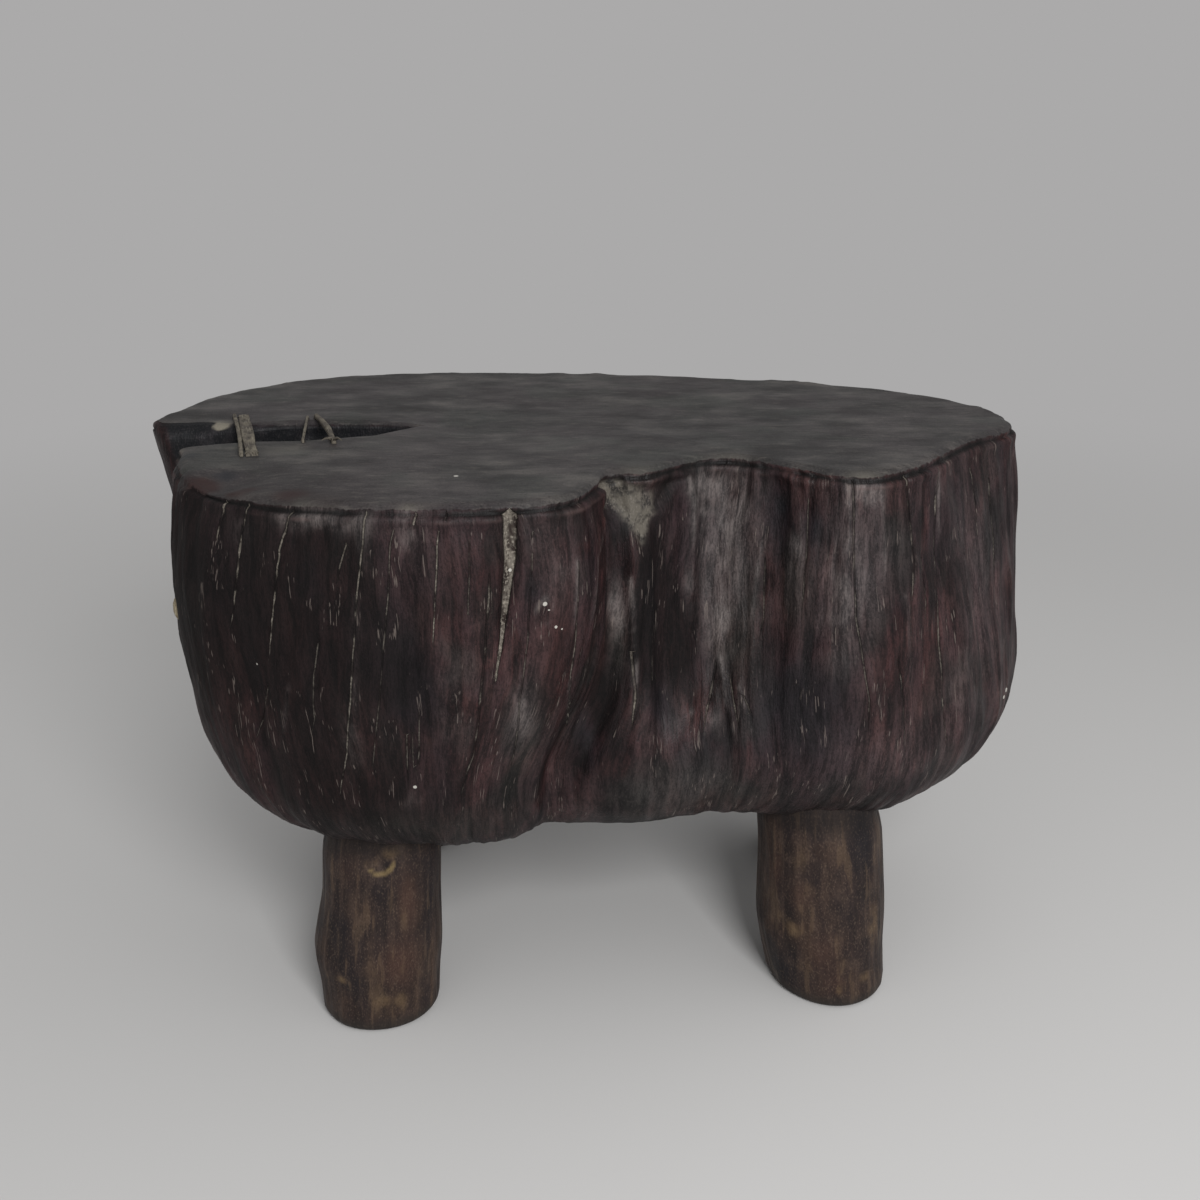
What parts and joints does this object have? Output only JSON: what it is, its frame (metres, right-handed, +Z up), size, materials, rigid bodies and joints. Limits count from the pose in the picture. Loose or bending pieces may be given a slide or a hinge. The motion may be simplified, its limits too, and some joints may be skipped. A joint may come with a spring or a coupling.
{
  "type": "stool",
  "caption": "Low wooden stool: thick fluted trunk seat with a stitched radial split and a deep front furrow, on stubby round branch legs driven into blind sockets.",
  "frame": {"origin": "on the floor, under the middle of the stool's overall box", "axes": "+Z up; +X to the right along the seat's longer side, seen from the front; the front with the two lobes and the furrow faces -Y"},
  "size_m": [0.473, 0.287, 0.3028],
  "materials": {
    "seat_wood": "hand-hewn, smoke-darkened and waxed, dull sheen",
    "leg_wood": "peeled branch, stained, worn to paler wood low down",
    "stitch_hide": "dry rawhide, dusty",
    "peg_wood": "bare pale end grain"
  },
  "bodies": {
    "root": {"seat": "seat_wood", "leg_front_left": "leg_wood", "leg_front_right": "leg_wood", "leg_back_left": "leg_wood", "leg_back_right": "leg_wood", "stitch_strap": "stitch_hide", "stitch_strand_beside_strap": "stitch_hide", "stitch_strand_straight": "stitch_hide", "stitch_strand_diagonal": "stitch_hide", "side_peg": "peg_wood"}
  },
  "joints": []
}
